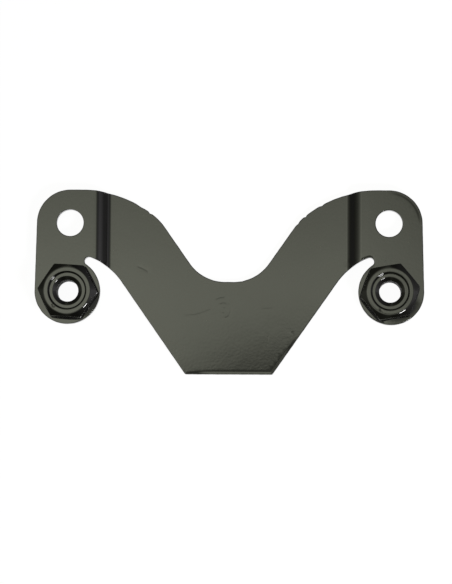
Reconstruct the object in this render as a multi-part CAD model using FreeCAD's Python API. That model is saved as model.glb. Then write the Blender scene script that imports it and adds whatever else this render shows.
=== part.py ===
# Tail light bracket for a motorbike: a V-shaped steel pressing whose two ears are joggled forward.
# Each ear has a plain bolt hole and, below it, a round lobe with a hexagon weld nut.
#
# Millimetres. +X is to the right and +Y up the bracket, as it is looked at from the nut side,
# and +Z points out of that side. The origin is midway between the two bolt holes, on the ears' rear face.
import FreeCAD, Part

import math
import os

V = FreeCAD.Vector

# Sheet
sheet_thickness = 2.0
front_edge_radius = 0.2       # roll-over that blanking leaves on the nut side
edge_break = 0.15             # small chamfer on the rear edges and around the bolt holes

# Ears
hole_spacing = 73.8
hole_diameter = 6.2           # clears an M6 bolt
ear_radius = 7.75             # rounds the ear's corner about its bolt hole
ear_flat = 6.05               # bolt hole's centre to the first bend line

# Joggle between each ear and the centre plate
joggle_depth = 1.9
joggle_angle = 45.0
joggle_shift = -0.22          # both joggles lie a little to the left of their mirror places
upper_bend_radius = 0.6       # inside of the bend beside the ear, on the rear face
lower_bend_radius = 1.4       # inside of the bend beside the centre plate, on the front face

# Round lobe below each ear, which carries the nut
lobe_radius = 7.6
lobe_outset = 0.5             # bolt hole's centre out to the lobe's
lobe_drop = 15.9              # and down to it
nut_outset = 0.15             # the nut is welded a little off the lobe's centre
nut_drop = 16.15

# Relief slot that parts the lobe from the leg
slot_end_radius = 0.95
slot_end_angle = 125.0        # where the slot ends, around the lobe's centre
slot_flare_radius = 15.0

# V-shaped centre plate
leg_angle = 55.1
leg_clearance = 6.43          # lobe to leg, level with the lobe's centre
arm_width = 15.5
foot_drop = 34.95             # bolt hole line down to the bottom edge
foot_corner_radius = 0.6
shoulder_upper_radius = 26.0  # the shoulder rounds the arm in two arcs
shoulder_lower_radius = 12.0
shoulder_lower_turn = 15.0
valley_radius = 10.0
valley_floor_width = 1.9      # short flat between the valley's two arcs

# Weld nut, M6: its round steps are widths in plan, from the thread outwards
nut_across_flats = 12.0
nut_height = 5.0
nut_corner_radius = 0.4
nut_chamfer_angle = 30.0
thread_minor_diameter = 5.0
countersink_width = 0.88
countersink_angle = 120.0
recess_floor_width = 0.71
recess_step_width = 0.33
recess_depth = 0.8
rim_width = 0.93
pilot_wall = 0.62             # around the countersink at the pilot's end
pilot_clearance = 0.1         # between the pilot and its hole in the lobe, all round
pilot_setback = 0.6           # the pilot stops this far short of the ear's rear face
left_nut_turn = -3.5          # each nut was welded at the angle it happened to lie
right_nut_turn = 10.0

# Places worked out from the sizes above
hole_centre = V(hole_spacing / 2, 0, 0)
lobe_centre = hole_centre + V(lobe_outset, -lobe_drop, 0)
nut_centre = hole_centre + V(nut_outset, -nut_drop, 0)
bend_line = hole_centre.x - ear_flat
thread_radius = thread_minor_diameter / 2
countersink_radius = thread_radius + countersink_width
pilot_radius = countersink_radius + pilot_wall
plate_rear = -joggle_depth
ear_front = sheet_thickness
overcut = sheet_thickness     # how far a cutting tool reaches past what it cuts
sheet_reach = max(hole_centre.x + ear_radius, lobe_centre.x + lobe_radius) + overcut
flat_tolerance = 1e-6         # a wall's normal has no more Z than this


def polar(radius, degrees):
    """Vector of that length, at that angle from +X."""
    angle = math.radians(degrees)
    return V(radius * math.cos(angle), radius * math.sin(angle), 0)


def angle_of(vector):
    return math.degrees(math.atan2(vector.y, vector.x))


def line(start, end):
    return Part.LineSegment(start, end).toShape()


def arc(centre, start, end, turn):
    """Arc from start to end about centre: turn is 1 for anticlockwise, -1 for clockwise."""
    first = angle_of(start - centre)
    sweep = turn * ((turn * (angle_of(end - centre) - first)) % 360)
    middle = centre + polar((start - centre).Length, first + sweep / 2)
    return Part.Arc(start, middle, end).toShape()


def upright(radius, bottom, top, centre):
    """Cylinder along Z."""
    return Part.makeCylinder(radius, top - bottom, V(centre.x, centre.y, bottom))


def half_outline():
    """Plan of the right half of the blank, as a face closed along X = 0."""
    along = polar(1, leg_angle)            # up both edges of the leg
    outward = polar(1, leg_angle - 90)     # from the leg towards the lobe

    # Leg's outer edge, the slot's flare and the slot's round end
    leg_point = lobe_centre - V(lobe_radius + leg_clearance, 0, 0)
    slot_end = lobe_centre + polar(lobe_radius + slot_end_radius, slot_end_angle)
    reach = slot_flare_radius - slot_end_radius
    beside_leg = leg_point + outward * slot_flare_radius - slot_end
    off_leg = beside_leg.dot(outward)
    flare_centre = slot_end + outward * off_leg - along * math.sqrt(reach**2 - off_leg**2)
    flare_start = flare_centre - outward * slot_flare_radius
    flare_end = slot_end + (slot_end - flare_centre) * (slot_end_radius / reach)
    lobe_start = lobe_centre + polar(lobe_radius, slot_end_angle)

    # Foot
    foot = leg_point - along * ((foot_drop - lobe_drop) / along.y)
    foot_setback = foot_corner_radius * math.tan(math.radians(leg_angle / 2))
    foot_start = foot - V(foot_setback, 0, 0)
    foot_end = foot + along * foot_setback
    foot_centre = foot_start + V(0, foot_corner_radius, 0)
    foot_middle = V(0, -foot_drop, 0)

    # Leg's inner edge, with the two arcs of the shoulder at its top and the valley at its bottom
    inner_point = leg_point - outward * arm_width
    facing = polar(1, 90 + leg_angle - shoulder_lower_turn)
    arc_step = facing * (shoulder_upper_radius - shoulder_lower_radius)
    upper_y = ear_radius - shoulder_upper_radius
    above_inner = shoulder_lower_radius + outward.dot(inner_point - arc_step) - outward.y * upper_y
    upper_centre = V(above_inner / outward.x, upper_y, 0)
    lower_centre = upper_centre + arc_step
    shoulder_start = upper_centre + V(0, shoulder_upper_radius, 0)
    shoulder_change = lower_centre + facing * shoulder_lower_radius
    shoulder_end = lower_centre - outward * shoulder_lower_radius
    valley_x = valley_floor_width / 2
    valley_y = inner_point.y + (outward.x * (inner_point.x - valley_x) - valley_radius) / outward.y
    valley_centre = V(valley_x, valley_y, 0)
    valley_start = valley_centre + outward * valley_radius
    valley_end = valley_centre - V(0, valley_radius, 0)
    valley_middle = V(0, valley_end.y, 0)

    # Ear's outer edge, which touches the lobe and the corner round the bolt hole
    up_ear = hole_centre - lobe_centre
    lean = math.degrees(math.acos((lobe_radius - ear_radius) / up_ear.Length))
    aside = polar(1, angle_of(up_ear) - lean)
    lobe_end = lobe_centre + aside * lobe_radius
    corner_start = hole_centre + aside * ear_radius
    corner_end = hole_centre + V(0, ear_radius, 0)

    edges = [
        line(foot_middle, foot_start),
        arc(foot_centre, foot_start, foot_end, 1),
        line(foot_end, flare_start),
        arc(flare_centre, flare_start, flare_end, -1),
        arc(slot_end, flare_end, lobe_start, -1),
        arc(lobe_centre, lobe_start, lobe_end, 1),
        line(lobe_end, corner_start),
        arc(hole_centre, corner_start, corner_end, 1),
        line(corner_end, shoulder_start),
        arc(upper_centre, shoulder_start, shoulder_change, 1),
        arc(lower_centre, shoulder_change, shoulder_end, 1),
        line(shoulder_end, valley_start),
        arc(valley_centre, valley_start, valley_end, -1),
        line(valley_end, valley_middle),
        line(valley_middle, foot_middle),
    ]
    return Part.Face(Part.Wire(edges))


def joggle_edges(offset):
    """Section of the right half's surface at that height above mid-sheet, drawn in X and height."""
    angle = math.radians(joggle_angle)
    lower = lower_bend_radius + sheet_thickness / 2
    upper = upper_bend_radius + sheet_thickness / 2
    slope = (joggle_depth - (lower + upper) * (1 - math.cos(angle))) / math.sin(angle)
    run = (lower + upper) * math.sin(angle) + slope * math.cos(angle)
    plate_level = plate_rear + sheet_thickness / 2
    ear_level = sheet_thickness / 2

    lower_centre = V(bend_line - run, plate_level + lower, 0)
    lower_start = lower_centre + polar(lower - offset, -90)
    lower_end = lower_centre + polar(lower - offset, joggle_angle - 90)
    upper_centre = V(bend_line, ear_level - upper, 0)
    upper_start = upper_centre + polar(upper + offset, joggle_angle + 90)
    upper_end = upper_centre + polar(upper + offset, 90)
    return [
        line(V(0, lower_start.y, 0), lower_start),
        arc(lower_centre, lower_start, lower_end, 1),
        line(lower_end, upper_start),
        arc(upper_centre, upper_start, upper_end, -1),
        line(upper_end, V(sheet_reach, upper_end.y, 0)),
    ]


def half_sheet():
    """The joggled sheet that the right half is cut from; the lobe stays flat, at the ear's level."""
    front = joggle_edges(sheet_thickness / 2)
    rear = joggle_edges(-sheet_thickness / 2)
    inner_end = line(rear[0].firstVertex().Point, front[0].firstVertex().Point)
    outer_end = line(rear[-1].lastVertex().Point, front[-1].lastVertex().Point)
    section = Part.Face(Part.Wire(Part.__sortEdges__(front + rear + [inner_end, outer_end])))
    section.rotate(V(0, 0, 0), V(1, 0, 0), 90)
    section.translate(V(0, -foot_drop - overcut, 0))
    strip = section.extrude(V(0, foot_drop + ear_radius + 2 * overcut, 0))

    lobe_reach = lobe_radius + slot_end_radius
    lobe_space = upright(lobe_reach, plate_rear - overcut, ear_front + overcut, lobe_centre)
    lobe_sheet = upright(lobe_reach, 0, ear_front, lobe_centre)
    return strip.cut(lobe_space).fuse(lobe_sheet)


def blanked_edges(shape, side):
    """Edges between the cut walls and the sheet's front face (side 1) or its rear face (side -1)."""
    edges = []
    for edge in shape.Edges:
        faces = shape.ancestorsOfType(edge, Part.Face)
        rises = [side * face.normalAt(*face.Surface.parameter(face.CenterOfMass)).z for face in faces]
        if max(rises) > flat_tolerance and abs(min(rises)) < flat_tolerance:
            edges.append(edge)
    return edges


def drilled(shape, radius, centre):
    """The shape with a hole through each ear, at centre and at its mirror place."""
    for side in (-1, 1):
        place = V(side * centre.x, centre.y, 0)
        shape = shape.cut(upright(radius, -overcut, ear_front + overcut, place))
    return shape


def both_sides(half):
    """The right half joined to its mirror image."""
    return half.fuse(half.mirror(V(0, 0, 0), V(1, 0, 0))).removeSplitter()


def bracket_plate():
    blank = both_sides(half_outline().extrude(V(0, 0, joggle_depth + sheet_thickness)))
    blank.translate(V(0, 0, plate_rear))
    sheet = both_sides(half_sheet())
    sheet.translate(V(joggle_shift, 0, 0))
    plate = blank.common(sheet).removeSplitter()
    plate = plate.makeFillet(front_edge_radius, blanked_edges(plate, 1))
    plate = drilled(plate, hole_diameter / 2, hole_centre)
    hole_rims = [edge for edge in blanked_edges(plate, 1) if edge.isClosed()]
    plate = plate.makeChamfer(edge_break, hole_rims)
    plate = drilled(plate, pilot_radius + pilot_clearance, nut_centre)
    return plate.makeChamfer(edge_break, blanked_edges(plate, -1))


def turned(profile):
    """Solid turned about Z, from the (radius, height) corners of its section."""
    corners = [V(radius, 0, height) for radius, height in profile]
    section = Part.Face(Part.makePolygon(corners + corners[:1]))
    return section.revolve(V(0, 0, 0), V(0, 0, 1), 360)


def weld_nut(side, turn):
    """Nut on the left (side -1) or right (side 1) lobe, with its pilot in the lobe's hole."""
    corner_radius = nut_across_flats / math.sqrt(3)
    corners = [polar(corner_radius, 60 * step + turn) for step in range(7)]
    hexagon = Part.Face(Part.makePolygon(corners)).extrude(V(0, 0, nut_height))
    uprights = [edge for edge in hexagon.Edges if edge.BoundBox.ZLength > nut_height / 2]
    hexagon = hexagon.makeFillet(nut_corner_radius, uprights)

    floor_radius = countersink_radius + recess_floor_width
    mouth_radius = floor_radius + recess_step_width
    face_radius = mouth_radius + rim_width
    chamfer_drop = (corner_radius - face_radius) * math.tan(math.radians(nut_chamfer_angle))
    chamfered = turned([
        (0, 0),
        (corner_radius, 0),
        (corner_radius, nut_height - chamfer_drop),
        (face_radius, nut_height),
        (0, nut_height),
    ])

    pilot_end = pilot_setback - sheet_thickness
    recess_floor = nut_height - recess_depth
    countersink_depth = countersink_width / math.tan(math.radians(countersink_angle / 2))
    bore = turned([
        (0, pilot_end - overcut),
        (countersink_radius, pilot_end - overcut),
        (countersink_radius, pilot_end),
        (thread_radius, pilot_end + countersink_depth),
        (thread_radius, recess_floor - countersink_depth),
        (countersink_radius, recess_floor),
        (floor_radius, recess_floor),
        (mouth_radius, nut_height),
        (mouth_radius, nut_height + overcut),
        (0, nut_height + overcut),
    ])

    nut = hexagon.common(chamfered).fuse(upright(pilot_radius, pilot_end, 0, V(0, 0, 0))).cut(bore)
    nut.translate(V(side * nut_centre.x, nut_centre.y, ear_front))
    return nut


pieces = {
    "bracket_plate": bracket_plate(),
    "left_weld_nut": weld_nut(-1, left_nut_turn),
    "right_weld_nut": weld_nut(1, right_nut_turn),
}
os.makedirs("parts", exist_ok=True)
for name, shape in pieces.items():
    shape.exportStep(f"parts/{name}.step")
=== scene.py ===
import math

import bpy
import numpy as np
from mathutils import Matrix, Vector
from mathutils.geometry import delaunay_2d_cdt


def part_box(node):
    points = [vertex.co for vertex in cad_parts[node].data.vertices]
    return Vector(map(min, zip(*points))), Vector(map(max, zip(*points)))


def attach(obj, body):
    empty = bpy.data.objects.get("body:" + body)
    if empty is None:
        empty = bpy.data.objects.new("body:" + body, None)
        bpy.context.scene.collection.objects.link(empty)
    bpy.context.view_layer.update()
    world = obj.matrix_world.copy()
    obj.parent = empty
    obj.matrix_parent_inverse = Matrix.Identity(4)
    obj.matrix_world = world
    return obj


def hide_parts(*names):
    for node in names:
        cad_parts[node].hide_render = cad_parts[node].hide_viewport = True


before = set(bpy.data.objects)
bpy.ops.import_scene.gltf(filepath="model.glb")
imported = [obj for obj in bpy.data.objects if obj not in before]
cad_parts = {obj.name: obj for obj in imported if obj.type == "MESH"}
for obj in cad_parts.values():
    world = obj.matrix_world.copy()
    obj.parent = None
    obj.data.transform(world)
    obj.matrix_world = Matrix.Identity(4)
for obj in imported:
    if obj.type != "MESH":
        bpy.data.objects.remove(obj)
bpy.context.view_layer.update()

MM = 0.001
TURN = 2 * math.pi
SIDES = {"left": -1, "right": 1}
PLATE_LOW, PLATE_HIGH = ([round(c / MM, 3) for c in corner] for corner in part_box("bracket_plate"))
NUT_TOP = round(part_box("left_weld_nut")[1].z / MM, 3)

# Sheet
SHEET_THICKNESS = PLATE_HIGH[2]   # the ears' rear is at height 0
REAR_EDGE_BREAK = 0.15

# Ears, lobes and joggles
HOLE_X = 36.9
HOLE_RADIUS = 3.1
EAR_RADIUS = PLATE_HIGH[1]    # about the bolt holes, which are on the X axis
BEND_LINE = 30.85             # where each ear's flat ends
JOGGLE_DEPTH = -PLATE_LOW[2]
JOGGLE_SHIFT = -0.22          # both joggles lie a little to the left of their mirror places
UPPER_BEND_RADIUS = 2.6       # front of the bend beside the ear
# Front of the bend beside the plate, from the plate up: the tilt at each arc's end and its radius
LOWER_BENDS = {
    "left": [(15.0, 2.8), (47.0, 0.5)],
    "right": [(45.0, 1.4)],
}
LOBE_RADIUS = 7.6
LOBE_CENTRE = np.array([37.4, -15.9])
NUT_CENTRE = np.array([37.05, -16.15])
SLOT_END_RADIUS = 0.95
SLOT_END_ANGLE = 125.0
SLOT_FLARE_RADIUS = 15.0

# V-shaped centre plate
LEG_ANGLE = 55.1
LEG_CLEARANCE = 6.43
ARM_WIDTH = 15.5
FOOT_DROP = -PLATE_LOW[1]
FOOT_CORNER_RADIUS = 0.6
SHOULDER_UPPER_RADIUS = 26.0
SHOULDER_LOWER_RADIUS = 12.0
SHOULDER_LOWER_TURN = 15.0
VALLEY_RADIUS = 10.0
VALLEY_FLOOR_WIDTH = 1.9

# Cut edges
ROLLOVER_RADIUS = 0.12        # left by the blanking die on the front
# Where the die drew the front down: a place on the edge (x, y) and the reach along it, the two gaps
# from the edge between which the front falls, and how far it falls
EDGE_DROOPS = [
    (30.8, -9.0, 3.4, -0.75, 0.75, 0.055),
    (42.4, 5.5, 6.0, 0.45, 1.05, 0.02),
    (4.0, -FOOT_DROP, 15.0, 0.15, 0.75, 0.045),
]
EDGE_WAVER = 0.025            # how unevenly the die cut, always inwards
SLOW_WAVER = 1.3              # radians for each millimetre of edge
QUICK_WAVER = 2.9
CHIPS = [                     # knocks in the edge: x, y, half width and depth
    (-20.72, 3.94, 0.9, 0.12),
    (-18.45, 2.54, 0.35, 0.2),
    (15.86, 0.07, 0.5, 0.14),
    (17.48, 1.94, 0.3, 0.2),
    (21.41, 4.36, 0.45, 0.18),
    (3.07, -13.6, 0.3, 0.22),
    (-43.43, -19.87, 0.4, 0.14),
    (11.6, -33.9, 0.3, 0.1),
]

# Shallow marks in the front face of the centre plate: points along the mark, half width and depth
SCRATCHES = [
    ([(-20.97, -9.96), (-19.9, -10.4), (-18.91, -11.0)], 0.2, 0.008),
    ([(-9.9, -21.35), (-8.6, -21.29), (-7.19, -21.05), (-5.8, -20.56), (-4.44, -20.0)], 0.15, 0.0024),
    ([(-2.88, -17.6), (-2.0, -17.25), (-1.1, -17.2)], 0.13, 0.003),
    ([(7.61, -19.83), (8.7, -19.7), (9.83, -19.64)], 0.14, 0.0015),
    ([(9.06, -26.1), (9.1, -26.6), (9.06, -27.1)], 0.13, 0.002),
    ([(14.5, -25.2), (14.6, -25.3)], 0.08, 0.008),
]
PRESS_MARK_CENTRE = np.array([-1.27, -19.98])
PRESS_MARK_ARCS = [           # radius of each arc that still shows, and its ends in degrees
    (1.5, 55, 125), (1.65, -30, 20), (2.3, 203, 225), (0.8, 205, 270), (0.5, 20, 80), (1.9, 285, 315),
]
PRESS_MARK_WIDTH = 0.14
PRESS_MARK_DEPTH = 0.0026
# Low run of weld on each lobe: radius about the nut, ends in degrees, half width and height
WELD_RUNS = {
    "left": (5.6, -55, -15, 1.1, 0.24),
    "right": (5.5, -95, -30, 1.05, 0.22),
}

# Weld nuts
NUT_ACROSS_FLATS = 12.0
NUT_HEIGHT = NUT_TOP - SHEET_THICKNESS
NUT_SIDE_RADIUS = 6.87        # centre to corner, after the corners' rounding
NUT_TURN = {"left": -3.5, "right": 10.0}
THREAD_RADIUS = 2.5
THREAD_PITCH = 1.0
THREAD_DEPTH = 0.5
COUNTERSINK_RADIUS = 3.36
COUNTERSINK_DEPTH = 0.508
FLOOR_RADIUS = 4.15
MOUTH_RADIUS = 4.36
RECESS_DEPTH = 0.8
FACE_RADIUS = 5.42
CHAMFER_SLOPE = math.tan(math.radians(30))
SIDE_TOP = NUT_HEIGHT - (NUT_SIDE_RADIUS - FACE_RADIUS) * CHAMFER_SLOPE   # at the corners
ROUND_RADIUS = 5.65           # inside it the nut is round, past it a hexagon
PILOT_RADIUS = 4.0
PILOT_END = -1.4
PILOT_HOLE_RADIUS = 4.1
CORNER_ROUNDING = 0.12        # of the hexagon, seen from above
SIDE_ROUNDING = 0.05          # and of the section's corners
FACE_ROUNDING = 0.8
MOUTH_ROUNDING = 0.2
FLOOR_ROUNDING = 0.12
COUNTERSINK_ROUNDING = 0.35
BORE_ROUNDING = 0.1
PILOT_ROUNDING = 0.15
SKIRT_WIDTH = 0.38            # paint and weld gathered round the nut's foot, along its flats
SKIRT_HEIGHT = 0.6
SKIRT_ROWS = (-0.03, 0.0, 0.03, 0.06, 0.1, 0.15, 0.22)   # heights; the lowest is sunk in the lobe's paint
SKIRT_CURVE = 4.0             # power by which the skirt thins upwards
SKIRT_THINNING = 0.2          # how much narrower it is for each millimetre that the side lies further out
RIM_DENT = {"left": (-40.12, -19.73), "right": (34.91, -20.51)}
RIM_DENT_SIZE = 0.3
RIM_DENT_DEPTH = 0.05


def linear(hex_colour):
    """An sRGB hex colour as linear red, green, blue and alpha."""
    channels = [int(hex_colour[i:i + 2], 16) / 255 for i in (1, 3, 5)]
    return [c / 12.92 if c <= 0.04045 else ((c + 0.055) / 1.055) ** 2.4 for c in channels] + [1.0]


def add_node(tree, kind, links=None, **settings):
    """Adds a node with its settings; each entry of links is a socket to join or a value to set."""
    node = tree.nodes.new(kind)
    for name, value in settings.items():
        setattr(node, name, value)
    for socket, source in (links or {}).items():
        if isinstance(source, bpy.types.NodeSocket):
            tree.links.new(source, node.inputs[socket])
        else:
            node.inputs[socket].default_value = source
    return node


def put(name, data):
    """A new object in the scene, at the origin."""
    thing = bpy.data.objects.new(name, data)
    bpy.context.scene.collection.objects.link(thing)
    return thing


def spokes(angles):
    """Unit vectors at the angles, one in each row."""
    return np.stack([np.cos(angles), np.sin(angles)], 1)


def polar(radius, degrees):
    angle = math.radians(degrees)
    return radius * np.array([math.cos(angle), math.sin(angle)])


def angle_of(vector):
    return math.atan2(vector[1], vector[0])


def distance(points, spot):
    return np.hypot(*(points - spot).T)


def smooth_step(share):
    share = np.clip(share, 0, 1)
    return share**2 * (3 - 2 * share)


# Plate's mesh
EDGE_SPACING = 0.15
FEWEST_ARC_STEPS = 4
BEND_ROWS = 14                # around each arc of a bend
GRID_SPACING = 1.0
MARK_SPACING = 0.2            # along a mark, at most, and about this across a wide one
MARK_COLUMNS = 8              # at least, across a mark
MARK_REACH = 2                # half widths to each side that a mark's points cover
PRESS_MARK_POINTS = 6         # along each arc
WELD_RUN_POINTS = 9
DROOP_ROWS = 7
FACE_MARGIN = 0.12            # flat left between the roll-over and the face's own points
ROLL_ANGLES = [math.radians(a) for a in (0, 15, 30, 45, 60, 75, 90)]
# Rows down the cut wall, which is sheared and then torn: inset and share of the depth
WALL_ROWS = [(0.0, 0.3), (0.03, 0.36), (0.04, 0.7), (0.03, 1.0)]
INSIDE_WITHOUT_HOLES = 2      # what the triangulation keeps
SAME_POINT = 1e-7             # points nearer than this are one to it


def right_half():
    """The right half's edge from foot to valley: lines (start, end) and arcs (centre, start, end, turn)."""
    hole = np.array([HOLE_X, 0.0])
    along = polar(1, LEG_ANGLE)
    outward = polar(1, LEG_ANGLE - 90)

    leg_point = LOBE_CENTRE - [LOBE_RADIUS + LEG_CLEARANCE, 0]
    slot_end = LOBE_CENTRE + polar(LOBE_RADIUS + SLOT_END_RADIUS, SLOT_END_ANGLE)
    reach = SLOT_FLARE_RADIUS - SLOT_END_RADIUS
    off_leg = (leg_point + outward * SLOT_FLARE_RADIUS - slot_end) @ outward
    flare_centre = slot_end + outward * off_leg - along * math.sqrt(reach**2 - off_leg**2)
    flare_start = flare_centre - outward * SLOT_FLARE_RADIUS
    flare_end = slot_end + (slot_end - flare_centre) * (SLOT_END_RADIUS / reach)
    lobe_start = LOBE_CENTRE + polar(LOBE_RADIUS, SLOT_END_ANGLE)

    foot = leg_point - along * ((FOOT_DROP + LOBE_CENTRE[1]) / along[1])
    setback = FOOT_CORNER_RADIUS * math.tan(math.radians(LEG_ANGLE / 2))
    foot_start = foot - [setback, 0]
    foot_end = foot + along * setback
    foot_centre = foot_start + [0, FOOT_CORNER_RADIUS]

    inner_point = leg_point - outward * ARM_WIDTH
    facing = polar(1, 90 + LEG_ANGLE - SHOULDER_LOWER_TURN)
    arc_step = facing * (SHOULDER_UPPER_RADIUS - SHOULDER_LOWER_RADIUS)
    upper_y = EAR_RADIUS - SHOULDER_UPPER_RADIUS
    above_inner = SHOULDER_LOWER_RADIUS + outward @ (inner_point - arc_step) - outward[1] * upper_y
    upper_centre = np.array([above_inner / outward[0], upper_y])
    lower_centre = upper_centre + arc_step
    shoulder_start = upper_centre + [0, SHOULDER_UPPER_RADIUS]
    shoulder_change = lower_centre + facing * SHOULDER_LOWER_RADIUS
    shoulder_end = lower_centre - outward * SHOULDER_LOWER_RADIUS
    valley_x = VALLEY_FLOOR_WIDTH / 2
    valley_y = inner_point[1] + (outward[0] * (inner_point[0] - valley_x) - VALLEY_RADIUS) / outward[1]
    valley_centre = np.array([valley_x, valley_y])
    valley_start = valley_centre + outward * VALLEY_RADIUS
    valley_end = valley_centre - [0, VALLEY_RADIUS]

    up_ear = hole - LOBE_CENTRE
    lean = math.degrees(math.acos((LOBE_RADIUS - EAR_RADIUS) / np.linalg.norm(up_ear)))
    aside = polar(1, math.degrees(angle_of(up_ear)) - lean)
    lobe_end = LOBE_CENTRE + aside * LOBE_RADIUS
    corner_start = hole + aside * EAR_RADIUS
    corner_end = hole + [0, EAR_RADIUS]

    return [
        (np.array([0.0, -FOOT_DROP]), foot_start),
        (foot_centre, foot_start, foot_end, 1),
        (foot_end, flare_start),
        (flare_centre, flare_start, flare_end, -1),
        (slot_end, flare_end, lobe_start, -1),
        (LOBE_CENTRE, lobe_start, lobe_end, 1),
        (lobe_end, corner_start),
        (hole, corner_start, corner_end, 1),
        (corner_end, shoulder_start),
        (upper_centre, shoulder_start, shoulder_change, 1),
        (lower_centre, shoulder_change, shoulder_end, 1),
        (shoulder_end, valley_start),
        (valley_centre, valley_start, valley_end, -1),
        (valley_end, np.array([0.0, valley_end[1]])),
    ]


def walk(run):
    """Even points along a line or arc, without its last, and the edge's outward direction at each."""
    if len(run) == 2:
        start, end = run
        along = end - start
        length = np.linalg.norm(along)
        count = math.ceil(length / EDGE_SPACING)
        share = np.arange(count) / count
        outward = np.array([along[1], -along[0]]) / length
        return start + share[:, None] * along, np.tile(outward, (count, 1))
    centre, start, end, turn = run
    first = angle_of(start - centre)
    sweep = turn * ((turn * (angle_of(end - centre) - first)) % TURN)
    radius = np.linalg.norm(start - centre)
    count = max(FEWEST_ARC_STEPS, math.ceil(abs(sweep) * radius / EDGE_SPACING))
    out = spokes(first + sweep * np.arange(count) / count)
    return centre + radius * out, turn * out


def blank_edge():
    """The whole outer edge, anticlockwise: the right half and its mirror image."""
    half = right_half()
    runs = [walk(run) for run in half]
    points = np.concatenate([p for p, _ in runs])
    outward = np.concatenate([n for _, n in runs])
    mirror = np.array([-1, 1])
    last = half[-1][1]
    points = np.concatenate([points, [last], points[:0:-1] * mirror])
    outward = np.concatenate([outward, [[0.0, 1.0]], outward[:0:-1] * mirror])
    return points, outward


def hole_edge(centre, radius):
    """A hole's edge, clockwise, with the direction out of the steel, towards the hole's middle."""
    count = math.ceil(TURN * radius / EDGE_SPACING)
    out = spokes(-TURN * np.arange(count) / count)
    return centre + radius * out, -out


def worn(points, outward):
    """An edge's points moved inwards by the die's waver and by the chips."""
    along = np.cumsum(np.hypot(*(points - np.roll(points, 1, axis=0)).T))
    waver = np.sin(SLOW_WAVER * along) + np.sin(QUICK_WAVER * along + 1)
    bite = EDGE_WAVER * (2 + waver) / 4   # between none and all of it
    for x, y, half_width, depth in CHIPS:
        bite += depth * np.exp(-((distance(points, [x, y]) / half_width) ** 2))
    return points - outward * bite[:, None]


def plate_loops():
    """The outer edge and the holes' edges, each as its points and their outward directions."""
    points, outward = blank_edge()
    loops = [(worn(points, outward), outward)]
    for sign in SIDES.values():
        loops.append(hole_edge(np.array([sign * HOLE_X, 0.0]), HOLE_RADIUS))
        loops.append(hole_edge(NUT_CENTRE * [sign, 1], PILOT_HOLE_RADIUS))
    return loops


def mark_lines():
    """Every scratch, arc of the press mark and run of weld as (points, half width, depth)."""
    lines = [(np.array(points), half_width, depth) for points, half_width, depth in SCRATCHES]
    for radius, start, end in PRESS_MARK_ARCS:
        angles = np.linspace(start, end, PRESS_MARK_POINTS)
        arc = PRESS_MARK_CENTRE + radius * spokes(np.radians(angles))
        lines.append((arc, PRESS_MARK_WIDTH, PRESS_MARK_DEPTH))
    for side, (radius, start, end, half_width, height) in WELD_RUNS.items():
        angles = np.linspace(start, end, WELD_RUN_POINTS)
        run = NUT_CENTRE * [SIDES[side], 1] + radius * spokes(np.radians(angles))
        lines.append((run, half_width, -height))
    return lines


def relief_points(points, outward):
    """Close points across every mark and every droop of the edge, for the face to follow them."""
    spots = []
    for line, half_width, _ in mark_lines():
        columns = max(MARK_COLUMNS, math.ceil(2 * MARK_REACH * half_width / MARK_SPACING))
        offsets = half_width * np.linspace(-MARK_REACH, MARK_REACH, columns)
        for start, end in zip(line, line[1:]):
            length = np.linalg.norm(end - start)
            across = np.array([start[1] - end[1], end[0] - start[0]]) / length
            for share in np.arange(0, length, min(half_width, MARK_SPACING)) / length:
                middle = start + share * (end - start)
                spots += [middle + across * offset for offset in offsets]
    for x, y, reach, near, far, _ in EDGE_DROOPS:
        beside = distance(points, [x, y]) < reach
        for gap in np.linspace(max(near, 0), far, DROOP_ROWS):
            spots += list((points - outward * gap)[beside][::2])
    return np.array(spots)


def front_relief(points):
    """How far the marks and the droops move the front face, up or down."""
    relief = np.zeros(len(points))
    for line, half_width, depth in mark_lines():
        gap = np.full(len(points), np.inf)
        for start, end in zip(line, line[1:]):
            along = end - start
            share = np.clip((points - start) @ along / (along @ along), 0, 1)
            gap = np.minimum(gap, distance(points, start + share[:, None] * along))
        relief -= depth * np.exp(-((gap / half_width) ** 2))
    edge, _ = blank_edge()
    for x, y, reach, near, far, fall in EDGE_DROOPS:
        away = distance(points, [x, y])
        close = edge[distance(edge, [x, y]) < reach + far]
        for i in np.flatnonzero(away < reach):
            gap = np.min(distance(close, points[i]))
            fade = smooth_step(2 - 2 * away[i] / reach)   # over the outer half of the reach
            relief[i] -= fall * smooth_step((far - gap) / (far - near)) * fade
    return relief


def joggle_section(side):
    """Front and rear of a joggle, from plate to ear, as rows of distance from the middle and height."""
    lower = [(math.radians(tilt), radius) for tilt, radius in LOWER_BENDS[side]]
    steepest = lower[-1][0]
    tilts, rows = [0.0], [np.zeros(2)]
    for end, radius in lower + [(0.0, -UPPER_BEND_RADIUS)]:
        if end == 0:   # the straight run comes before the upper bend
            rise = JOGGLE_DEPTH - rows[-1][1] - UPPER_BEND_RADIUS * (1 - math.cos(steepest))
            rows.append(rows[-1] + [rise / math.tan(steepest), rise])
            tilts.append(steepest)
        for tilt in np.linspace(tilts[-1], end, BEND_ROWS)[1:]:
            step = [math.sin(tilt) - math.sin(tilts[-1]), math.cos(tilts[-1]) - math.cos(tilt)]
            rows.append(rows[-1] + radius * np.array(step))
            tilts.append(tilt)
    front = np.array(rows) + [BEND_LINE, SHEET_THICKNESS] - rows[-1]
    rear = front + SHEET_THICKNESS * np.column_stack([np.sin(tilts), -np.cos(tilts)])
    return {"front": front, "rear": rear}


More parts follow.
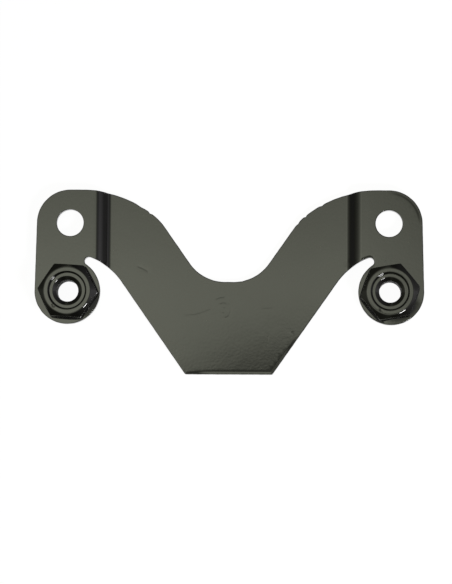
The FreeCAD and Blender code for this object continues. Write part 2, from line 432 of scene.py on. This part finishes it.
def sheet_height(points, face):
    """Height of the sheet's front or rear face, with the joggles and the flat lobes."""
    x = points[:, 0] - JOGGLE_SHIFT
    left, right = (joggle_section(side)[face].T for side in SIDES)
    height = np.where(x < 0, np.interp(-x, *left), np.interp(x, *right))
    from_lobe = np.hypot(np.abs(x) - LOBE_CENTRE[0], points[:, 1] - LOBE_CENTRE[1])
    return np.where(from_lobe < LOBE_RADIUS + SLOT_END_RADIUS / 2, right[1][-1], height)


def inside(points, loops):
    """Which points lie in the steel, by counting the edges crossed to their right."""
    crossings = np.zeros(len(points), int)
    for loop in loops:
        for start, end in zip(loop, np.roll(loop, -1, axis=0)):
            if start[1] == end[1]:
                continue
            spans = (start[1] > points[:, 1]) != (end[1] > points[:, 1])
            x = start[0] + (points[:, 1] - start[1]) * (end[0] - start[0]) / (end[1] - start[1])
            crossings += spans & (points[:, 0] < x)
    return crossings % 2 == 1


def face_points(loops, face, extra):
    """Points spread over the sheet's face: an even grid, the joggles' own rows and the extra ones."""
    left, right = (joggle_section(side)[face][:, 0] for side in SIDES)
    corners = np.array([loops[0].min(axis=0), loops[0].max(axis=0)])
    x = np.arange(corners[0, 0], corners[1, 0], GRID_SPACING)
    y = np.arange(corners[0, 1], corners[1, 1], GRID_SPACING)
    beside = GRID_SPACING / 2 - JOGGLE_SHIFT
    middle = np.abs(x) < min(left[0], right[0]) - beside
    ears = np.abs(x) > max(left[-1], right[-1]) + beside
    x = np.concatenate([x[middle | ears], JOGGLE_SHIFT - left, JOGGLE_SHIFT + right])
    grid = np.stack(np.meshgrid(x, y), -1).reshape(-1, 2)
    grid = np.concatenate([grid, extra])
    grid = grid[inside(grid, loops)]
    edge = np.concatenate(loops)
    gap = np.array([np.min(distance(edge, point)) for point in grid])
    return grid[gap > FACE_MARGIN]


def filled(loops, extra):
    """The loops' points with the extra ones, and triangles over them that fill the loops."""
    points = np.concatenate(loops + [extra])
    edges, first = [], 0
    for loop in loops:
        count = len(loop)
        edges += [(first + i, first + (i + 1) % count) for i in range(count)]
        first += count
    corners = [Vector(point) for point in points]
    found = delaunay_2d_cdt(corners, edges, [], INSIDE_WITHOUT_HOLES, SAME_POINT)
    source = np.array([origin[0] for origin in found[3]])
    triangles = source[np.array(found[2])]
    return points, triangles[inside(points[triangles].mean(axis=1), loops)]


def edge_rows():
    """Rows down a cut edge: inset, drop below the front and share of the way on to the rear."""
    rows = []
    for angle in ROLL_ANGLES:
        inset = ROLLOVER_RADIUS * (1 - math.sin(angle))
        rows.append((inset, ROLLOVER_RADIUS * (1 - math.cos(angle)), 0))
    return rows + [(inset, ROLLOVER_RADIUS, share) for inset, share in WALL_ROWS]


def bracket_plate():
    """The painted sheet as one closed mesh: its front, its rear and the cut edges between them."""
    loops = plate_loops()
    front_loops = [points - outward * (ROLLOVER_RADIUS + FACE_MARGIN) for points, outward in loops]
    rear_loops = [points - outward * (2 * REAR_EDGE_BREAK) for points, outward in loops]
    vertices, faces = [], []

    def add(points, heights):
        first = sum(len(group) for group in vertices)
        vertices.append(np.column_stack([points, heights]))
        return first + np.arange(len(points))

    def bridge(above, below):
        faces.extend(np.stack([above, below, np.roll(below, -1), np.roll(above, -1)], 1).tolist())

    points, triangles = filled(front_loops, face_points(front_loops, "front", relief_points(*loops[0])))
    front = add(points, sheet_height(points, "front") + front_relief(points))
    faces += front[triangles].tolist()
    points, triangles = filled(rear_loops, face_points(rear_loops, "rear", np.empty((0, 2))))
    rear = add(points, sheet_height(points, "rear"))
    faces += rear[triangles[:, ::-1]].tolist()

    start = 0
    for points, outward in loops:
        span = slice(start, start + len(points))
        above = front[span]
        for inset, drop, share in edge_rows():
            at = points - outward * inset
            top = sheet_height(at, "front") + front_relief(at) - drop
            below = add(at, top + share * (sheet_height(at, "rear") + REAR_EDGE_BREAK - top))
            bridge(above, below)
            above = below
        at = points - outward * (WALL_ROWS[-1][0] + REAR_EDGE_BREAK)
        broken = add(at, sheet_height(at, "rear"))
        bridge(above, broken)
        bridge(broken, rear[span])
        start += len(points)

    mesh = bpy.data.meshes.new("painted_plate")
    mesh.from_pydata((np.concatenate(vertices) * MM).tolist(), [], faces)
    mesh.shade_smooth()
    return put("painted_plate", mesh)


# Nuts' mesh
NUT_STEP = 0.09               # between the section's points
NUT_ARC_POINTS = 7            # around each of its rounded corners
NUT_STEPS_AROUND = 192
BORE_MARGIN = 0.01            # the thread takes points this near the bore's wall
SEAM_GAP = 0.001              # points nearer than this are merged


def divided(start, end):
    parts = math.ceil(np.linalg.norm(end - start) / NUT_STEP)
    return [start + (end - start) * k / parts for k in range(1, parts)]


def rounded(corners):
    """A closed section from (radius, height, rounding) corners, with its straight runs divided."""
    spots = np.array([corner[:2] for corner in corners], float)
    section = []
    for i, (_, _, rounding) in enumerate(corners):
        corner, before, after = spots[i], spots[i - 1], spots[(i + 1) % len(spots)]
        back = (before - corner) / np.linalg.norm(before - corner)
        on = (after - corner) / np.linalg.norm(after - corner)
        arc = [corner]
        if rounding:
            half = math.acos(back @ on) / 2
            middle = (back + on) / np.linalg.norm(back + on)
            centre = corner + middle * (rounding / math.sin(half))
            first = angle_of(corner + back * (rounding / math.tan(half)) - centre)
            last = angle_of(corner + on * (rounding / math.tan(half)) - centre)
            sweep = (last - first + math.pi) % TURN - math.pi
            arc = list(centre + rounding * spokes(first + sweep * np.linspace(0, 1, NUT_ARC_POINTS)))
        if section:
            section += divided(section[-1], arc[0])
        section += arc
    return np.array(section + divided(section[-1], section[0]))


def nut_section():
    """Section of the nut, from its base round the outside, the recess and the bore to the pilot."""
    floor = NUT_HEIGHT - RECESS_DEPTH
    skirt = [(NUT_SIDE_RADIUS, height, 0) for height in SKIRT_ROWS]
    return rounded(skirt + [
        (NUT_SIDE_RADIUS, SIDE_TOP, SIDE_ROUNDING),
        (FACE_RADIUS, NUT_HEIGHT, FACE_ROUNDING),
        (MOUTH_RADIUS, NUT_HEIGHT, MOUTH_ROUNDING),
        (FLOOR_RADIUS, floor, FLOOR_ROUNDING),
        (COUNTERSINK_RADIUS, floor, COUNTERSINK_ROUNDING),
        (THREAD_RADIUS, floor - COUNTERSINK_DEPTH, BORE_ROUNDING),
        (THREAD_RADIUS, PILOT_END + COUNTERSINK_DEPTH, BORE_ROUNDING),
        (COUNTERSINK_RADIUS, PILOT_END, BORE_ROUNDING),
        (PILOT_RADIUS, PILOT_END, PILOT_ROUNDING),
        (PILOT_RADIUS, 0, 0),
    ])


NUT_LENGTHS = {               # the tree's inputs that are lengths
    "Across Flats": NUT_ACROSS_FLATS,
    "Corner Rounding": CORNER_ROUNDING,
    "Side Radius": NUT_SIDE_RADIUS,
    "Side Top": SIDE_TOP,
    "Round Radius": ROUND_RADIUS,
    "Thread Radius": THREAD_RADIUS,
    "Thread Pitch": THREAD_PITCH,
    "Thread Depth": THREAD_DEPTH,
    "Skirt Width": SKIRT_WIDTH,
    "Skirt Height": SKIRT_HEIGHT,
    "Dent Size": RIM_DENT_SIZE,
    "Dent Depth": RIM_DENT_DEPTH,
}
NUT_INPUTS = {
    "Section": "NodeSocketGeometry",
    "Steps Around": "NodeSocketInt",
    **{name: "NodeSocketFloat" for name in NUT_LENGTHS},
    "Chamfer Slope": "NodeSocketFloat",
    "Turn": "NodeSocketFloat",
    "Centre": "NodeSocketVector",
    "Dent": "NodeSocketVector",
    "Paint": "NodeSocketMaterial",
}
# Sums on the points of a grid, whose columns go round the nut and whose rows go along its section:
# the name of each result, the operation, and the names or numbers that it works on
NUT_SUMS = [
    ("columns", "ADD", "Steps Around", 1.0),
    ("closed rows", "ADD", "rows", 1.0),
    ("up grid", "ADD", "grid y", 0.5),
    ("row share", "MULTIPLY", "up grid", "rows"),
    ("row", "ROUND", "row share"),
    ("section row", "MODULO", "row", "rows"),
    ("share round", "ADD", "grid x", 0.5),
    ("from corner", "MULTIPLY", "share round", TURN),
    ("angle", "ADD", "from corner", "Turn"),
    ("along flat", "FLOORED_MODULO", "from corner", TURN / 6),
    ("from flat's middle", "SUBTRACT", "along flat", TURN / 12),
    ("lean", "COSINE", "from flat's middle"),
    ("flat radius", "MULTIPLY", "Across Flats", 0.5),
    ("hexagon", "DIVIDE", "flat radius", "lean"),
    ("side", "SMOOTH_MIN", "Side Radius", "hexagon", "Corner Rounding"),
    ("side cut off", "SUBTRACT", "Side Radius", "side"),
    ("full side", "SUBTRACT", "Side Radius", "Round Radius"),
    ("share cut off", "DIVIDE", "side cut off", "full side"),
    ("past round", "SUBTRACT", "radius", "Round Radius"),
    ("to cut", "MAXIMUM", "past round", 0.0),
    ("cut off", "MULTIPLY", "to cut", "share cut off"),
    ("cut", "SUBTRACT", "radius", "cut off"),
    ("up side", "DIVIDE", "height", "Side Top"),
    ("up side or more", "MINIMUM", "up side", 1.0),
    ("up chamfer", "MULTIPLY", "cut off", "Chamfer Slope"),
    ("rise", "MULTIPLY", "up chamfer", "up side or more"),
    ("level", "ADD", "height", "rise"),
    ("bore radius", "ADD", "Thread Radius", BORE_MARGIN * MM),
    ("in bore", "LESS_THAN", "radius", "bore radius"),
    ("turns up", "DIVIDE", "height", "Thread Pitch"),
    ("turns round", "DIVIDE", "angle", TURN),
    ("wind", "ADD", "turns up", "turns round"),
    ("in turn", "FRACT", "wind"),
    ("in half turn", "MULTIPLY_ADD", "in turn", 2.0, -1.0),
    ("off root", "ABSOLUTE", "in half turn"),
    ("groove", "SUBTRACT", 1.0, "off root"),
    ("bore groove", "MULTIPLY", "groove", "in bore"),
    ("threaded", "MULTIPLY_ADD", "bore groove", "Thread Depth", "cut"),
    ("on side", "GREATER_THAN", "radius", "Round Radius"),
    ("up skirt", "DIVIDE", "level", "Skirt Height"),
    ("skirt left", "SUBTRACT", 1.0, "up skirt"),
    ("near base", "MAXIMUM", "skirt left", 0.0),
    ("curve", "POWER", "near base", SKIRT_CURVE),
    ("past flat", "SUBTRACT", "hexagon", "flat radius"),
    ("room", "MULTIPLY_ADD", "past flat", -SKIRT_THINNING, "Skirt Width"),
    ("swell", "MULTIPLY", "curve", "room"),
    ("side swell", "MULTIPLY", "swell", "on side"),
    ("reach", "ADD", "threaded", "side swell"),
    ("cosine", "COSINE", "angle"),
    ("sine", "SINE", "angle"),
    ("x", "MULTIPLY", "reach", "cosine"),
    ("y", "MULTIPLY", "reach", "sine"),
    ("sizes away", "DIVIDE", "from dent", "Dent Size"),
    ("squared", "POWER", "sizes away", 2.0),
    ("fall", "MULTIPLY", "squared", -1.0),
    ("share of dent", "EXPONENT", "fall"),
    ("sink", "MULTIPLY", "share of dent", "Dent Depth"),
    ("drop", "MULTIPLY", "sink", -1.0),
]


def nut_tree():
    """Geometry Nodes that turn the section about Z, cut the hexagon, wind the thread and dent the rim."""
    tree = bpy.data.node_groups.new("weld_nut", "GeometryNodeTree")
    for name, kind in NUT_INPUTS.items():
        tree.interface.new_socket(name, in_out="INPUT", socket_type=kind)
    tree.interface.new_socket("Nut", in_out="OUTPUT", socket_type="NodeSocketGeometry")
    known = {socket.name: socket for socket in add_node(tree, "NodeGroupInput").outputs if socket.name}

    size = add_node(tree, "GeometryNodeAttributeDomainSize", {0: known["Section"]}, component="MESH")
    known["rows"] = size.outputs[0]
    position = add_node(tree, "GeometryNodeInputPosition").outputs[0]
    on_grid = add_node(tree, "ShaderNodeSeparateXYZ", {0: position}).outputs
    known["grid x"], known["grid y"] = on_grid["X"], on_grid["Y"]
    drawn = add_node(tree, "GeometryNodeSampleIndex", {"Geometry": known["Section"], "Value": position},
                     data_type="FLOAT_VECTOR", domain="POINT")
    on_section = add_node(tree, "ShaderNodeSeparateXYZ", {0: drawn.outputs["Value"]}).outputs
    known["radius"], known["height"] = on_section["X"], on_section["Z"]
    away = add_node(tree, "ShaderNodeVectorMath", {0: position, 1: known["Dent"]}, operation="DISTANCE")
    known["from dent"] = away.outputs["Value"]
    for name, operation, *terms in NUT_SUMS:
        links = {i: known.get(term, term) for i, term in enumerate(terms)}
        known[name] = add_node(tree, "ShaderNodeMath", links, operation=operation).outputs[0]
    tree.links.new(known["section row"], drawn.inputs["Index"])

    grid = add_node(tree, "GeometryNodeMeshGrid", {
        "Size X": 1.0, "Size Y": 1.0, "Vertices X": known["columns"], "Vertices Y": known["closed rows"]})
    place = add_node(tree, "ShaderNodeCombineXYZ", {"X": known["x"], "Y": known["y"], "Z": known["level"]})
    moved = add_node(tree, "ShaderNodeVectorMath", {
        0: place.outputs[0], 1: known["Centre"]}, operation="ADD")
    sunk = add_node(tree, "ShaderNodeCombineXYZ", {"Z": known["drop"]})
    nut = grid.outputs["Mesh"]
    for kind, links in (
        ("GeometryNodeSetPosition", {"Position": moved.outputs[0]}),
        ("GeometryNodeMergeByDistance", {"Distance": SEAM_GAP * MM}),
        ("GeometryNodeSetPosition", {"Offset": sunk.outputs[0]}),
        ("GeometryNodeSetShadeSmooth", {}),
        ("GeometryNodeRealizeInstances", {}),
        ("GeometryNodeSetMaterial", {"Material": known["Paint"]}),
    ):
        nut = add_node(tree, kind, {"Geometry": nut, **links}).outputs[0]
    add_node(tree, "NodeGroupOutput", {"Nut": nut})
    return tree


def weld_nut(tree, side, paint):
    """One nut as a plain mesh, from the tree and that side's place, turn and dent."""
    section = bpy.data.meshes.new(f"{side}_nut_section")
    section.from_pydata([(r * MM, 0, z * MM) for r, z in nut_section()], [], [])
    shaper = put(f"{side}_nut_shaper", section)
    modifier = shaper.modifiers.new("weld_nut", "NODES")
    modifier.node_group = tree
    x, y = NUT_CENTRE * [SIDES[side], 1]
    dent_x, dent_y = RIM_DENT[side]
    values = {name: length * MM for name, length in NUT_LENGTHS.items()}
    values |= {
        "Steps Around": NUT_STEPS_AROUND,
        "Chamfer Slope": CHAMFER_SLOPE,
        "Turn": math.radians(NUT_TURN[side]),
        "Centre": (x * MM, y * MM, SHEET_THICKNESS * MM),
        "Dent": (dent_x * MM, dent_y * MM, NUT_TOP * MM),
        "Paint": paint,
    }
    for item in tree.interface.items_tree:
        if item.name in values:
            modifier[item.identifier] = values[item.name]
    shown = shaper.evaluated_get(bpy.context.evaluated_depsgraph_get())
    finished = bpy.data.meshes.new_from_object(shown)
    bpy.data.objects.remove(shaper)
    return put(f"painted_{side}_nut", finished)


# Enamel
ENAMEL_BLACKS = ("#0a0b09", "#100f0c")
ENAMEL_ROUGHNESS = (0.045, 0.075)
ENAMEL_IOR = 1.55
CLOUD_SIZE = 7.0              # of the faint changes in colour and gloss
RIPPLE_SIZE = 5.0             # of the unevenness under the paint
RIPPLE_HEIGHT = 0.003
PEEL_SIZE = {"sheet": 0.6, "nut": 0.5}
PEEL_HEIGHT = 0.0018
DUST_COLOUR = "#8d897c"
DUST_SPACING = 2.6
DUST_RADII = (0.03, 0.05)     # of a speck's middle and edge, in spacings: coarser than real dust, to show
DUST_COVER = 0.25


def black_enamel(name, peel):
    """Baked gloss enamel over steel: near black, mirror-like, with orange peel, faint clouds and dust."""
    material = bpy.data.materials.new(name)
    material.use_nodes = True
    tree = material.node_tree
    tree.nodes.clear()
    coords = add_node(tree, "ShaderNodeTexCoord").outputs["Object"]
    cloud = add_node(tree, "ShaderNodeTexNoise", {
        "Vector": coords, "Scale": 1 / (CLOUD_SIZE * MM), "Detail": 3.0})
    black, brown_black = (linear(colour) for colour in ENAMEL_BLACKS)
    colour = add_node(tree, "ShaderNodeMix", {
        "Factor": cloud.outputs[0], "A": black, "B": brown_black}, data_type="RGBA")
    cells = add_node(tree, "ShaderNodeTexVoronoi", {"Vector": coords, "Scale": 1 / (DUST_SPACING * MM)})
    speck = add_node(tree, "ShaderNodeMapRange", {
        "Value": cells.outputs["Distance"], "From Min": DUST_RADII[1], "From Max": DUST_RADII[0],
        "To Max": DUST_COVER})
    dusty = add_node(tree, "ShaderNodeMix", {
        "Factor": speck.outputs[0], "A": colour.outputs["Result"], "B": linear(DUST_COLOUR)},
        data_type="RGBA")
    rough = add_node(tree, "ShaderNodeMapRange", {
        "Value": cloud.outputs[0], "To Min": ENAMEL_ROUGHNESS[0], "To Max": ENAMEL_ROUGHNESS[1]})
    dull = add_node(tree, "ShaderNodeMath", {0: speck.outputs[0], 1: rough.outputs[0]}, operation="ADD")
    ripple = add_node(tree, "ShaderNodeTexNoise", {
        "Vector": coords, "Scale": 1 / (RIPPLE_SIZE * MM), "Detail": 1.0})
    waver = add_node(tree, "ShaderNodeBump", {
        "Height": ripple.outputs[0], "Strength": 1.0, "Distance": RIPPLE_HEIGHT * MM})
    grain = add_node(tree, "ShaderNodeTexNoise", {
        "Vector": coords, "Scale": 1 / (peel * MM), "Detail": 2.0})
    bump = add_node(tree, "ShaderNodeBump", {
        "Height": grain.outputs[0], "Strength": 1.0, "Distance": PEEL_HEIGHT * MM,
        "Normal": waver.outputs[0]})
    shader = add_node(tree, "ShaderNodeBsdfPrincipled", {
        "Base Color": dusty.outputs["Result"], "Roughness": dull.outputs[0], "Normal": bump.outputs[0],
        "IOR": ENAMEL_IOR})
    add_node(tree, "ShaderNodeOutputMaterial", {"Surface": shader.outputs[0]})
    return material


# Studio that the enamel mirrors: levels of light and their tints in red, green and blue, by the angle in
# degrees across the plate, up it, and off its own direction, where the camera stands in the light
CEILING = (1.0, 1.035, 0.84)
WALL = (1.0, 0.98, 1.02)
PLAIN = (1.0, 1.0, 1.0)
ACROSS_GLOW = [
    (-90, 0.15, PLAIN), (-75, 0.2, CEILING), (-63, 0.31, CEILING), (-50, 0.45, CEILING),
    (-39, 0.65, CEILING), (-28, 1.0, CEILING), (-17, 1.6, CEILING), (-9, 2.4, CEILING), (-6, 2.55, CEILING),
    (-4, 2.45, CEILING), (-2, 2.25, CEILING), (0, 2.2, CEILING), (1.2, 2.3, CEILING), (2.6, 1.75, CEILING),
    (5, 1.2, CEILING), (8, 0.82, CEILING), (15, 0.47, PLAIN), (25, 0.47, PLAIN), (36, 0.85, WALL),
    (50, 0.8, WALL), (62, 0.66, WALL), (76, 0.42, WALL), (90, 0.22, WALL),
]
UP_GLOW = [
    (-90, 0.02, PLAIN), (-60, 0.03, PLAIN), (-40, 0.12, PLAIN), (-20, 0.45, PLAIN), (-8, 0.85, PLAIN),
    (3.4, 0.97, PLAIN), (5.4, 1.0, PLAIN), (6.4, 0.82, PLAIN), (7.6, 0.66, PLAIN), (12, 0.5, PLAIN),
    (30, 0.3, PLAIN), (60, 0.13, PLAIN), (90, 0.03, PLAIN),
]
CAMERA_SHADE = [
    (0, 0.15, PLAIN), (3.4, 0.19, PLAIN), (3.8, 0.37, PLAIN), (4.05, 0.6, PLAIN), (4.3, 0.8, PLAIN),
    (4.6, 0.92, PLAIN), (5, 1.0, PLAIN),
]


def studio():
    """The soft light all round, as the product of the three glows."""
    world = bpy.context.scene.world or bpy.data.worlds.new("studio")
    bpy.context.scene.world = world
    world.use_nodes = True
    tree = world.node_tree
    tree.nodes.clear()
    coords = add_node(tree, "ShaderNodeTexCoord").outputs["Generated"]
    toward = add_node(tree, "ShaderNodeSeparateXYZ", {0: coords}).outputs
    across = add_node(tree, "ShaderNodeMath", {0: toward["X"], 1: toward["Z"]}, operation="ARCTAN2")
    up = add_node(tree, "ShaderNodeMath", {0: toward["Y"]}, operation="ARCSINE")
    off_plate = add_node(tree, "ShaderNodeMath", {0: toward["Z"]}, operation="ARCCOSINE")
    glow = PLAIN
    for angle, stops in ((across, ACROSS_GLOW), (up, UP_GLOW), (off_plate, CAMERA_SHADE)):
        lowest, highest = stops[0][0], stops[-1][0]
        share = add_node(tree, "ShaderNodeMapRange", {
            "Value": angle.outputs[0], "From Min": math.radians(lowest), "From Max": math.radians(highest)})
        ramp = add_node(tree, "ShaderNodeValToRGB", {0: share.outputs[0]})
        while len(ramp.color_ramp.elements) < len(stops):
            ramp.color_ramp.elements.new(0.5)
        for element, (degrees, level, tint) in zip(ramp.color_ramp.elements, stops):
            element.position = (degrees - lowest) / (highest - lowest)
            element.color = (*(level * t for t in tint), 1)
        product = add_node(tree, "ShaderNodeVectorMath", {
            0: glow, 1: ramp.outputs[0]}, operation="MULTIPLY")
        glow = product.outputs[0]
    background = add_node(tree, "ShaderNodeBackground", {"Color": glow, "Strength": 1.0})
    add_node(tree, "ShaderNodeOutputWorld", {"Surface": background.outputs[0]})


FLOOR_SIZE = 6                # metres
FLOOR_GAP = 0.02              # below the bracket
PAPER_COLOUR = "#cfcfcc"
PAPER_GLOW = 0.96             # what makes it white where it is seen
SHADED_COLOUR = "#484848"     # adds the rest of the white, except in the shadow


def paper_floor():
    """Pale paper under the bracket: white to the camera and in reflections, with a faint shadow."""
    bpy.ops.mesh.primitive_plane_add(size=FLOOR_SIZE, location=(0, 0, (PLATE_LOW[2] - FLOOR_GAP) * MM))
    floor = bpy.context.object
    floor.name = "floor"
    paper = bpy.data.materials.new("white_paper")
    paper.use_nodes = True
    tree = paper.node_tree
    tree.nodes.clear()
    path = add_node(tree, "ShaderNodeLightPath").outputs
    seen = path["Is Camera Ray"]
    for ray in ("Is Glossy Ray", "Is Transmission Ray"):
        seen = add_node(tree, "ShaderNodeMath", {0: seen, 1: path[ray]}, operation="MAXIMUM").outputs[0]
    plain = add_node(tree, "ShaderNodeBsdfDiffuse", {"Color": linear(PAPER_COLOUR)})
    shaded = add_node(tree, "ShaderNodeBsdfDiffuse", {"Color": linear(SHADED_COLOUR)})
    white = add_node(tree, "ShaderNodeEmission", {"Color": linear("#ffffff"), "Strength": PAPER_GLOW})
    both = add_node(tree, "ShaderNodeAddShader", {0: shaded.outputs[0], 1: white.outputs[0]})
    mixed = add_node(tree, "ShaderNodeMixShader", {0: seen, 1: plain.outputs[0], 2: both.outputs[0]})
    add_node(tree, "ShaderNodeOutputMaterial", {"Surface": mixed.outputs[0]})
    floor.data.materials.append(paper)


LAMP_PLACE = (0.158, -0.172, 0.3)   # metres, and so is its size
LAMP_SIZE = 0.06
LAMP_RADIANCE = 62            # how bright its face looks


def small_lamp():
    """A small square studio light that faces the bracket."""
    light = bpy.data.lights.new("small_lamp", "AREA")
    light.size = LAMP_SIZE
    light.energy = LAMP_RADIANCE * math.pi * LAMP_SIZE**2
    lamp = put("small_lamp", light)
    lamp.location = LAMP_PLACE
    lamp.rotation_euler = (-Vector(LAMP_PLACE)).to_track_quat("-Z", "Y").to_euler()


# Camera, fitted to the photograph's view of the outline, the holes and the nuts
CAMERA_TURNS = (("Z", -0.36), ("X", -5.2), ("Y", -1.7))   # degrees
CAMERA_LENS = 165.03
CAMERA_SENSOR = 36
CAMERA_AIM = (0, -13.5, 0)
CAMERA_OFFSET = (-0.755, -2.311, 620)   # from there: along the picture's width and height, and back
CAMERA_CLIP = (0.05, 20)      # metres


def photo_camera():
    turned = Matrix.Identity(3)
    for axis, degrees in CAMERA_TURNS:
        turned = turned @ Matrix.Rotation(math.radians(degrees), 3, axis)
    back = turned.transposed()
    camera = bpy.data.cameras.new("photo_camera")
    camera.lens = CAMERA_LENS
    camera.sensor_width = CAMERA_SENSOR
    camera.clip_start, camera.clip_end = CAMERA_CLIP
    holder = put("photo_camera", camera)
    place = Vector(CAMERA_AIM) + back @ Vector(CAMERA_OFFSET)
    holder.matrix_world = Matrix.Translation(place * MM) @ back.to_4x4()
    bpy.context.scene.camera = holder


bpy.context.scene.view_settings.view_transform = "Standard"
photo_camera()
studio()
paper_floor()
small_lamp()

plate = bracket_plate()
plate.data.materials.append(black_enamel("baked_black_enamel_on_sheet", PEEL_SIZE["sheet"]))
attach(plate, "root")
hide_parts("bracket_plate")

nut_shaper = nut_tree()
nut_paint = black_enamel("baked_black_enamel_on_nut", PEEL_SIZE["nut"])
for side in SIDES:
    nut = weld_nut(nut_shaper, side, nut_paint)
    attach(nut, "root")
    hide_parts(f"{side}_weld_nut")
